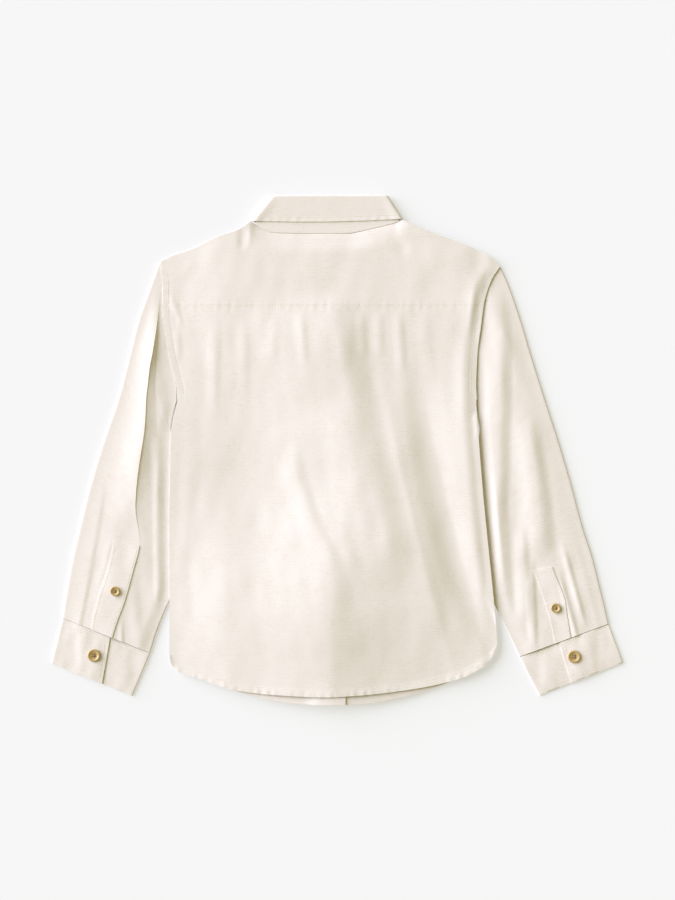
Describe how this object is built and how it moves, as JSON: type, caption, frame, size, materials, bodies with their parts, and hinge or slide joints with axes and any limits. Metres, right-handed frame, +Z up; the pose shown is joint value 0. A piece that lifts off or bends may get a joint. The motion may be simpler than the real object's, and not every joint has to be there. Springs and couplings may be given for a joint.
{
  "type": "long-sleeve shirt",
  "caption": "Child's long-sleeve collared shirt laid flat with its back up: yoke, curved hem, set-in sleeves with buttoned plackets and cuffs.",
  "frame": {"origin": "centre of the bounding box's bottom, on the surface that the shirt lies on", "axes": "+Z up from that surface, out of the shirt's back; +Y towards the collar; +X towards the sleeve on the right when seen from above"},
  "size_m": [0.5716, 0.5074, 0.0085],
  "materials": {
    "cloth": "soft cream cotton with a fine woven check",
    "buttons": "marbled horn-coloured resin"
  },
  "bodies": {
    "root": {"back_panel": "cloth", "back_yoke": "cloth", "front_left": "cloth", "front_right": "cloth", "sleeve_left": "cloth", "sleeve_right": "cloth", "placket_left": "cloth", "placket_right": "cloth", "cuff_left": "cloth", "cuff_right": "cloth", "collar_leaf": "cloth", "collar_stand": "cloth", "cuff_button_left": "buttons", "cuff_button_right": "buttons", "placket_button_left": "buttons", "placket_button_right": "buttons", "front_button_1": "buttons", "front_button_2": "buttons", "front_button_3": "buttons", "front_button_4": "buttons", "front_button_5": "buttons", "front_button_6": "buttons"}
  },
  "joints": []
}
